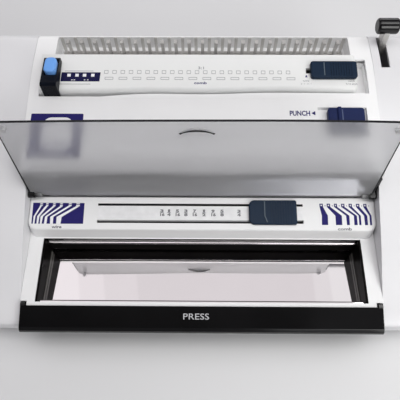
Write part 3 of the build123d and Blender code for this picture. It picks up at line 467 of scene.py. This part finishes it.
def scoop_rim_painted_shade():
    """Thin dark crescent with rounded ends along the finger scoop's rim: painted shade of the scoop's steep wall."""
    up, lo = [], []
    n = 28
    for k in range(n + 1):
        t = k / n
        a = math.radians(127.5 - 75.0 * t)
        w = 0.55 + 0.85 * math.sin(math.pi * t) ** 1.5 + 0.6 * max(0.0, 1.0 - min(t, 1 - t) / 0.06)
        cx, cs = -4.0, 74.7
        up.append((cx + (24.5 + w) * math.cos(a), cs + (24.5 + w) * math.sin(a)))
        lo.append((cx + (24.5 - w) * math.cos(a), cs + (24.5 - w) * math.sin(a)))
    vs, f = [], []
    for (ux, us), (lx, ls) in zip(up, lo):
        mx, ms = (ux + lx) / 2, (us + ls) / 2
        vs += [lid_in(lx, ls, -0.35), lid_in(lx, ls, 0.12), lid_in(mx, ms, 0.30), lid_in(ux, us, 0.12), lid_in(ux, us, -0.35)]
    for k in range(n):
        for j in range(5):
            i2 = (j + 1) % 5
            f.append([5 * k + j, 5 * k + i2, 5 * k + 5 + i2, 5 * k + 5 + j])
    f += [[4, 3, 2, 1, 0], [5 * n + j for j in range(5)]]
    return vs, f


def lid_edge_painted_shade(sx):
    """Painted shade: dark margin of the sheet along its side edge, widest near the hinge."""
    xe = -1.3 + sx * 174.85
    rows = []
    for k in range(15):
        sv = 5.2 + 88.0 * k / 14
        w = 1.75 - 0.95 * k / 14
        rows.append([lid_in(xe, sv, -0.30), lid_in(xe, sv, 0.08), lid_in(xe - sx * w, sv, 0.08), lid_in(xe - sx * w, sv, -0.30)])
    vs = [v for r in rows for v in r]
    f = [[4 * k + j, 4 * k + (j + 1) % 4, 4 * k + 4 + (j + 1) % 4, 4 * k + 4 + j] for k in range(14) for j in range(4)]
    return vs, f + [[3, 2, 1, 0], [56, 57, 58, 59]]


# painted shade: a dark crescent along the finger scoop's rim and dark margins along the sheet's side edges
joined("lid_finger_pull_painted_shade", [scoop_rim_painted_shade()], M["smoked_edge_painted_shade"], "lid")
joined("lid_edge_painted_shade_strips", [lid_edge_painted_shade(-1), lid_edge_painted_shade(1)], M["smoked_edge_painted_shade"], "lid")
# thin dark strip along the back of the upturned lip, painted shade for the dark line at the bed's bend
lip_painted_shade = [H(x, y, z) for z in (-34.5, -33.35) for x, y in rect(-160.2, 160.2, -101.15, -100.2)]
joined("bed_lip_painted_shade", [(lip_painted_shade, [[0, 1, 2, 3], [7, 6, 5, 4], [0, 4, 5, 1], [1, 5, 6, 2], [2, 6, 7, 3], [3, 7, 4, 0]])], M["lip_painted_shade"], "jaw")

# ------------------------------------------------------------------ printing on the selector panel
# "wire" pictogram: slanted leaves bending to upright, white on navy
joined("wire_icon_ground", [slab([(-174.1, -5.7), (-173.8, -27.6), (-120.9, -27.6), (-121.0, -5.8)][::-1], panel, 0.0, 0.10)], M["navy_print"], "chassis")
wire_top = ((-166.8, -165.0), (-161.2, -158.6), (-153.6, -151.0), (-146.0, -143.1), (-138.1, -134.8), (-129.6, -125.9))
wire_knee = ((-172.2, -170.4), (-168.6, -166.2), (-165.1, -162.5), (-160.5, -158.0), (-155.1, -151.8), (-148.6, -143.4))
wire_foot = ((-172.2, -170.6), (-168.5, -166.7), (-165.1, -163.3), (-160.9, -158.3), (-154.7, -151.8), (-148.4, -144.0))
wire_eye = ((-166.8, -164.0), (-160.6, -158.2), (-153.4, -150.8), (-146.2, -143.4), (-137.3, -134.2), (-129.4, -125.8))
stripes = []
for k in range(6):
    kn = -19.9 - 0.14 * k
    stripes.append(slab([(wire_foot[k][0], -27.62), (wire_foot[k][1], -27.62), (wire_knee[k][1], kn), (wire_top[k][1], -9.2), (wire_top[k][0], -9.2), (wire_knee[k][0], kn)], panel, 0.10, 0.05))
    stripes.append(slab(rect(wire_eye[k][0], wire_eye[k][1], -9.0, -7.75), panel, 0.10, 0.05))
    stripes.append(slab(rect(wire_eye[k][0], wire_eye[k][1], -7.0, -6.15), panel, 0.10, 0.05))
joined("wire_icon_leaves", stripes, M["white_print"], "chassis")
text_piece("wire_word", "wire", -147.6, -32.1, 2.7, panel, 0.174, M["dark_print"], "chassis", width=10.2, bold=0.02)
# "comb" pictogram: bent navy leaves hanging from small rings
comb_top = ((121.0, 124.4), (128.4, 131.8), (135.9, 138.9), (143.2, 146.5), (150.9, 154.2), (158.4, 161.8), (165.9, 169.1))
comb_knee = ((122.7, 128.8), (136.5, 143.0), (147.4, 150.7), (155.3, 158.4), (160.2, 162.4), (165.7, 168.9), (171.2, 173.2))
comb_foot = ((122.1, 128.5), (136.4, 142.8), (147.6, 150.5), (155.1, 158.4), (160.1, 162.2), (165.8, 168.9), (171.0, 173.0))
leaves = []
for k in range(7):
    leaves.append(slab([(comb_foot[k][0], -27.5), (comb_foot[k][1], -27.5), (comb_knee[k][1], -17.8), (comb_top[k][1], -8.6), (comb_top[k][0], -8.6), (comb_knee[k][0], -17.8)], panel, 0.0, 0.1))
    leaves.append(frame_patch(comb_top[k][0], comb_top[k][1] + 0.1, -8.9, -5.3, 1.05, panel))
    leaves.append(slab(rect(comb_top[k][1] + 1.9, comb_top[k][1] + 2.7, -7.9, -7.1), panel, 0.0, 0.1))
joined("comb_icon_leaves", leaves, M["navy_print"], "chassis")
text_piece("comb_word", "comb", 145.0, -32.9, 2.9, panel, 0.174, M["dark_print"], "chassis", width=14.0, bold=0.015)
# pale strip between the two guide slots, and stacked sizes
joined("size_strip", [slab(rect(-106.0, 103.0, -22.4, -8.9), panel, 0.0, 0.06)], M["pale_print"], "chassis")
sizes = [("3", "16"), ("1", "4"), ("5", "16"), ("3", "8"), ("7", "16"), ("1", "2"), ("9", "16"), ("5", "8"), ("3", "4")]
size_x = (-40.8, -33.6, -24.9, -16.2, -7.4, 2.3, 11.6, 20.8, 38.2)
for i, ((a, b), x) in enumerate(zip(sizes, size_x)):
    text_piece(f"size_top_{i}", a, x, -15.0, 2.9, panel, 0.174, M["size_print"], "chassis", bold=0.05, lift=0.07, width=3.4 if a != "1" else 2.2)
    text_piece(f"size_low_{i}", b, x, -18.9, 2.9, panel, 0.174, M["size_print"], "chassis", bold=0.05, lift=0.07, width=4.6 if len(b) > 1 else 3.6)
joined("size_bars", [slab(rect(x - 2.0, x + 2.0, -15.85, -15.4), panel, 0.07, 0.08) for x in size_x], M["size_print"], "chassis")
# dark sleeves under the guide slots, painted shade for the slots' dark interiors
def channel(x0, x1, y0, y1, t, z_top, z_bot):
    """Open-bottomed sleeve inside a slot; z_top, z_bot are depths under the panel."""
    o = rect(x0, x1, y0, y1)
    i = rect(x0 + t, x1 - t, y0 + t, y1 - t)
    ring = o + i
    top = [H(x, y, panel(y) - z_top) for x, y in ring]
    bot = [H(x, y, panel(y) - z_bot) for x, y in ring]
    f = []
    for k in range(4):
        j = (k + 1) % 4
        f += [[k, j, 4 + j, 4 + k], [8 + j, 8 + k, 12 + k, 12 + j], [k, 8 + k, 8 + j, j], [4 + j, 12 + j, 12 + k, 4 + k]]
    return top + bot, f


joined("slot_shade_sleeves", [channel(-106.9, 103.7, -8.46, -6.04, 0.35, 0.15, 11.0), channel(-106.9, 103.7, -26.36, -22.84, 0.5, 4.4, 13.0)], M["black_satin"], "chassis")
# pale rear wall of the lower slot, above the dark sleeve
wall = [H(x, y, panel(-23.0) - z) for z in (0.25, 4.5) for x, y in rect(-105.9, 98.0, -23.08, -22.60)]
joined("slot_wall", [(wall, [[0, 1, 2, 3], [7, 6, 5, 4], [0, 4, 5, 1], [1, 5, 6, 2], [2, 6, 7, 3], [3, 7, 4, 0]])], M["white_shell"], "chassis")

# painted highlight on the ridge of the size slider
def on_panel_n(x, v, w):
    """Selector-panel frame: v up the slope from y = 1.6, w along the normal."""
    a = math.atan(0.174)
    return H(x, 1.6 + v * math.cos(a) - w * math.sin(a), -5.9 + v * math.sin(a) + w * math.cos(a))


rg = [(63.7, -5.9), (63.7, -21.2), (66.1, -27.9), (67.0, -27.9), (64.6, -21.2), (64.6, -5.9)]
top = [on_panel_n(x, v, 3.98) for x, v in rg] + [on_panel_n(x, v, 3.80) for x, v in rg]
joined("size_slider_painted_highlight", [(top, [list(range(6)), [11 - i for i in range(6)]] + [[i, (i + 1) % 6, 6 + (i + 1) % 6, 6 + i] for i in range(6)])], M["rib_teal_painted_highlight"], "size_selector")
# painted highlights beside the ridges of the other two sliders
def rib_box(name, x0, x1, v0, v1, w0, w1, origin, slope, mat, body):
    """Thin bar with slanting ends, in the frame of a sloping face; v runs up the slope, w along its normal."""
    a = math.atan(slope)
    pts = [(x0, v0), (x1, v0 + 0.4), (x1, v1), (x0, v1 - 0.4)]
    vs = [H(x, origin[0] + v * math.cos(a) - w * math.sin(a), origin[1] + v * math.sin(a) + w * math.cos(a)) for w in (w0, w1) for x, v in pts]
    joined(name, [(vs, [[3, 2, 1, 0], [4, 5, 6, 7], [0, 1, 5, 4], [1, 2, 6, 5], [2, 3, 7, 6], [3, 0, 4, 7]])], mat, body)


rib_box("mode_slider_painted_highlight", 123.3, 124.3, 17.2, 32.4, 4.7, 4.92, (90.0, deck(90.0)), 0.17, M["rib_teal_painted_highlight"], "mode_selector")
rib_box("punch_slide_painted_highlight", 139.95, 141.1, 50.5, 75.2, 2.45, 2.68, (0.0, lab(0.0)), 0.17, M["rib_navy_painted_highlight"], "punch_switch_slide")
# brownish strips up the well's side walls: painted reflection of the black side walls in the polished bed
reflection_strips = []
for sx in (-1, 1):
    xa, xb = sorted((sx * 160.75, sx * 161.35))
    v = [H(x, y, z) for y, zb in ((-43.0, -53.1), (-99.8, -49.4)) for x, z in ((xa, zb), (xb, zb), (xb, zb + 4.6), (xa, zb + 4.6))]
    reflection_strips.append((v, [[0, 1, 2, 3], [7, 6, 5, 4], [0, 4, 5, 1], [1, 5, 6, 2], [2, 6, 7, 3], [3, 7, 4, 0]]))
joined("well_side_painted_reflection", reflection_strips, M["wall_painted_reflection"], "chassis")

# ------------------------------------------------------------------ lettering on the press bar
text_piece("press_word", "PRESS", -5.0, -119.4, 5.6, bar, 0.2965, M["press_print"], "press", width=25.0, bold=0.002)

# ------------------------------------------------------------------ label face
text_piece("punch_word", "PUNCH", 98.4, 68.4, 5.4, lab, 0.17, M["navy_print"], "chassis", width=20.5, bold=0.026)
joined("punch_arrow", [slab([(110.0, 71.0), (113.9, 68.7), (113.9, 73.3)], lab, 0.02, 0.1)], M["navy_print"], "chassis")
x0, x1, y0, y1 = -172.4, -119.6, 22.5, 69.6
joined("sheet_label_ground", [slab(round_rect(x0, x1, y0, y1, 1.2), lab, 0.0, 0.1)], M["navy_print"], "chassis")
joined("sheet_label_sheet", [slab(round_rect(x0 + 12.5, x1 - 9.5, y0 + 9, y1 - 4.2, 9.0, 10), lab, 0.1, 0.05)], M["white_print"], "chassis")
joined("sheet_label_bars", [slab(rect(x0 + 16 + 5.2 * k, x0 + 18.2 + 5.2 * k, y0 + 12, y0 + 18), lab, 0.15, 0.05) for k in range(5)], M["navy_print"], "chassis")
joined("sheet_label_feet", [slab(rect(x0 + 6 + 7 * k, x0 + 9 + 7 * k, y0 + 2.0, y0 + 5.0), lab, 0.1, 0.05) for k in range(6)], M["white_print"], "chassis")
joined("guide_marks", [slab(rect(-40 + 6.6 * k, -37.6 + 6.6 * k, 44.0, 46.4), lab, 0.0, 0.08) for k in range(11)], M["grey_print"], "chassis")

# ------------------------------------------------------------------ deck printing
joined("hole_label_ground", [slab([(-144.8, 102.2), (-105.0, 102.2), (-104.4, 112.6), (-144.4, 112.6)], deck, 0.0, 0.1)], M["deep_navy_print"], "chassis")
joined("hole_label_squares", [slab(rect(x - 1.75, x + 1.75, 107.6, 110.9), deck, 0.1, 0.05) for x in (-136.6, -128.4, -120.7, -112.2)] +
       [slab(rect(x, x + 1.6, 103.4, 104.3), deck, 0.1, 0.05) for x in (-134, -131.5, -121, -117.8)], M["white_print"], "chassis")
joined("hole_label_rules", [slab(rect(-141, -112, 113.9, 114.4), deck, 0.0, 0.08), slab(rect(-147, -114, 98.9, 99.4), deck, 0.0, 0.08)], M["grey_print"], "chassis")
rows = []
for k in range(23):
    x = -98.6 + 8.4667 * k
    rows.append(frame_patch(x - 2.1, x + 2.1, 111.2, 115.0, 0.42, deck))
for k in range(14):
    x = -95.4 + 14.2875 * k
    rows.append(frame_patch(x - 4.3, x + 4.3, 104.4, 107.3, 0.42, deck))
joined("hole_rows", rows, M["grey_print"], "chassis")
text_piece("deck_comb_word", "comb", -2.0, 99.6, 2.6, deck, 0.17, M["navy_print"], "chassis", width=13.0, bold=0.022)
text_piece("deck_ratio", "3:1", -1.0, 116.6, 3.0, deck, 0.17, M["grey_print"], "chassis", width=6.0, bold=0.01)
for nm, x, w in (("mode_left", 105.5, 10.5), ("mode_right", 151.5, 11.5)):
    text_piece(nm + "_a", "wire" if x < 120 else "comb", x, 102.6, 1.9, deck, 0.17, M["grey_print"], "chassis", width=w * 0.6)
    text_piece(nm + "_b", "2 : 1 - 3 : 1" if x < 120 else "9/16 pitch", x, 99.4, 1.6, deck, 0.17, M["grey_print"], "chassis", width=w)
joined("mode_arrow", [slab([(104.8, 107.6), (107.4, 107.6), (106.1, 110.4)], deck, 0.0, 0.08)], M["navy_print"], "chassis")

# ------------------------------------------------------------------ stage, light, camera
me = bpy.data.meshes.new("floor")
me.from_pydata([(-6, -6, 0), (6, -6, 0), (6, 6, 0), (-6, 6, 0)], [], [[0, 1, 2, 3]])
floor = link(bpy.data.objects.new("floor", me))
floor.data.materials.append(moulded("floor_pale", (0.70, 0.70, 0.71), rough=0.6, var=0.01, grain=60.0, bump=0.01, cloud=2.0))

world = bpy.data.worlds.new("studio")
scene.world = world
world.use_nodes = True
bgn = world.node_tree.nodes["Background"]
bgn.inputs["Color"].default_value = (0.95, 0.93, 0.98, 1)
bgn.inputs["Strength"].default_value = 0.17


def area(name, loc, target, size, size_y, radiance, color=(1, 1, 1)):
    l = bpy.data.lights.new(name, "AREA")
    l.shape = "RECTANGLE"; l.size = size; l.size_y = size_y; l.color = color
    l.energy = radiance * math.pi * size * size_y
    o = link(bpy.data.objects.new(name, l))
    o.location = loc
    o.rotation_euler = (Vector(target) - Vector(loc)).to_track_quat("-Z", "Y").to_euler()
    return o


LIGHTS = {  # name: (location, target, size, size_y, radiance, colour)
    "cloth_mid": ((0.12, 0.605, 2.2), (0.12, 0.605, 0.0), 1.08, 0.81, 0.635, (1.0, 0.955, 0.97)),
    "cloth_left_in": ((-0.525, 0.605, 2.2), (-0.525, 0.605, 0.0), 0.21, 0.81, 0.69, (1.0, 0.955, 0.97)),
    "cloth_left_out": ((-0.71, 0.665, 2.2), (-0.71, 0.665, 0.0), 0.16, 0.93, 0.755, (1.0, 0.955, 0.97)),
    "cloth_left": ((-1.145, 0.665, 2.2), (-1.145, 0.665, 0.0), 0.71, 0.93, 0.82, (1.0, 0.96, 0.975)),
    "cloth_right_in": ((0.71, 0.605, 2.2), (0.71, 0.605, 0.0), 0.10, 0.81, 0.69, (1.0, 0.97, 0.98)),
    "cloth_right": ((1.13, 0.605, 2.2), (1.13, 0.605, 0.0), 0.74, 0.81, 0.75, (1.0, 0.985, 0.99)),
    "zenith": ((0.1, -0.13, 2.2), (0.1, -0.13, 0.0), 1.9, 0.64, 4.1, (1.0, 0.985, 0.975)),
    "high_right": ((1.0, 0.05, 1.25), (0.08, -0.05, 0.1), 0.7, 0.9, 2.45, (0.98, 1.0, 0.98)),
    "front_right": ((0.64, -0.66, 0.56), (0.12, 0.0, 0.1), 0.5, 0.5, 4.8, (1.0, 1.0, 0.97)),
    "front_mid": ((0.52, -1.26, 1.0), (0.1, 0.0, 0.1), 0.55, 0.5, 3.2, (0.97, 0.98, 1.0)),
    "left_fill": ((-1.6, 0.2, 1.4), (0.0, 0.0, 0.1), 1.0, 1.0, 1.0, (0.96, 0.94, 1.0)),
    "rear_low": ((0.0, 1.9, 0.9), (0.0, 0.0, 0.1), 2.0, 0.8, 2.6, (1.0, 0.99, 1.0)),
}
for nm, (loc, tgt, w, h, rad, col) in LIGHTS.items():
    area(nm, loc, tgt, w, h, rad, col)
# dark card over the machine, beside the camera
cm = bpy.data.meshes.new("dark_card")
cm.from_pydata([(-0.75, -0.57, 0.95), (0.32, -0.57, 0.95), (0.32, -0.38, 0.95), (-0.75, -0.38, 0.95)], [], [[0, 1, 2, 3]])
card = link(bpy.data.objects.new("dark_card", cm))
card.data.materials.append(moulded("card_black", (0.01, 0.01, 0.01), rough=0.9, var=0.05, grain=200.0, bump=0.02, cloud=3.0, spec=0.1))

f, th, ro, ya = 475.86, math.radians(63.14), math.radians(-0.6), math.radians(-0.97)
d = Vector((math.sin(ya) * math.cos(th), math.cos(ya) * math.cos(th), -math.sin(th)))
r = d.cross(Vector((0, 0, 1))).normalized()
u = r.cross(d)
r2 = math.cos(ro) * r + math.sin(ro) * u
u2 = -math.sin(ro) * r + math.cos(ro) * u
cam = bpy.data.cameras.new("camera")
cam.sensor_width = 36.0
cam.sensor_fit = "HORIZONTAL"
cam.lens = 36.0 * f / 400.0
cam.clip_start = 0.01
co = link(bpy.data.objects.new("camera", cam))
co.matrix_world = Matrix.Translation(H(1.9, -224.12, 432.16)) @ Matrix((r2, u2, -d)).transposed().to_4x4()
scene.camera = co
scene.view_settings.view_transform = "Standard"
scene.view_settings.look = "None"
scene.view_settings.exposure = 0.0
